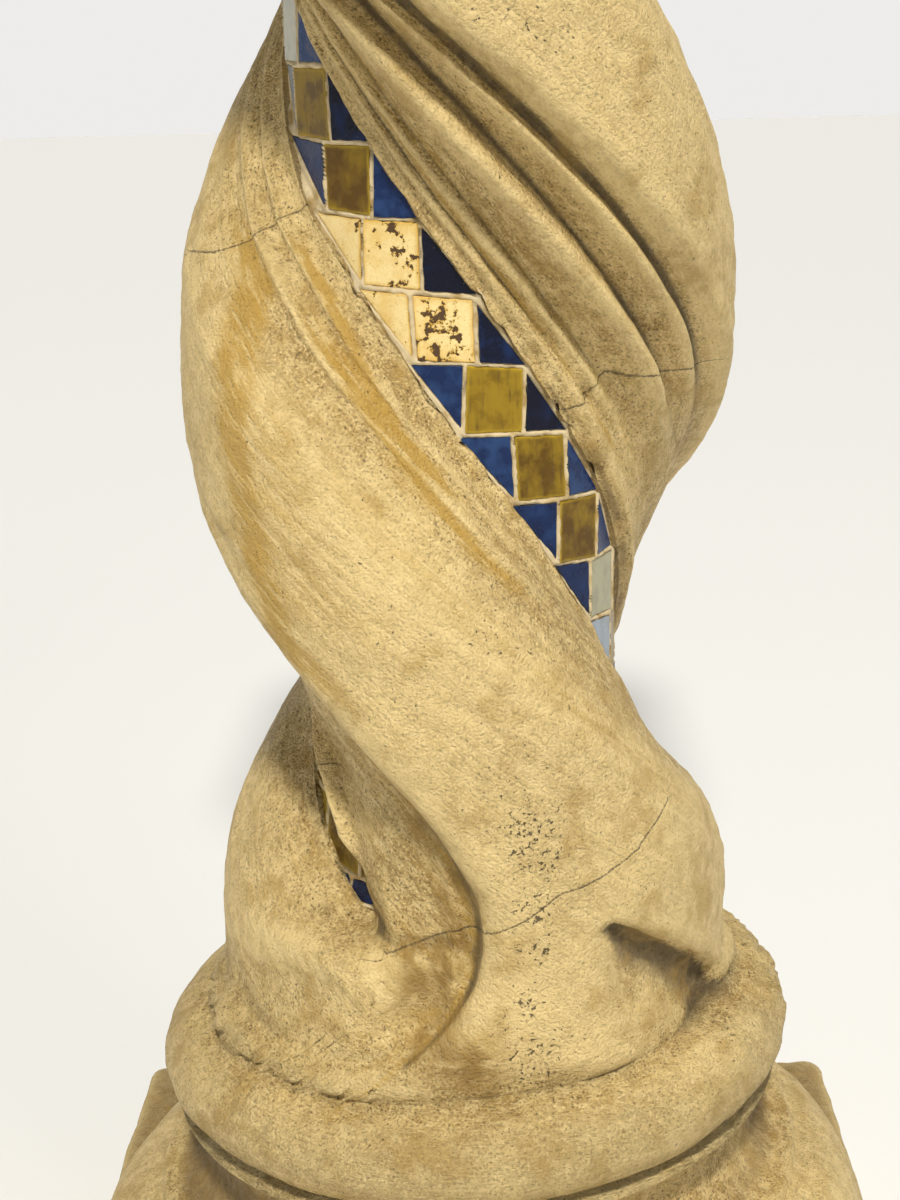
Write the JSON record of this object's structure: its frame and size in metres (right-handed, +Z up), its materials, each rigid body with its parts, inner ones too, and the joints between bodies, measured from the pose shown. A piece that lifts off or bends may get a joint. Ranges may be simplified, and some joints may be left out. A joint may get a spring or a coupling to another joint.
{
  "type": "barley twist column",
  "caption": "Stone column whose shaft is two thick strands twisted round each other, with mosaic let into the grooves between them, on a turned base and square plinth.",
  "frame": {"origin": "centre of the plinth's underside", "axes": "+Z up the column, -Y towards the side that the picture shows, +X to its right"},
  "size_m": [0.347, 0.347, 1.171],
  "materials": {
    "stone": "weathered cream stone with tooling marks, ochre stains and pits",
    "mortar": "matt lime mortar",
    "blue_glass": "opaque blue glass tile, glossy and worn",
    "gold_glass": "glass tile with a flaked gold layer",
    "pale_glass": "pale grey glass tile, worn"
  },
  "bodies": {
    "root": {"column": "stone", "mosaic_band_front": "blue_glass", "mosaic_band_back": "blue_glass"}
  },
  "joints": []
}
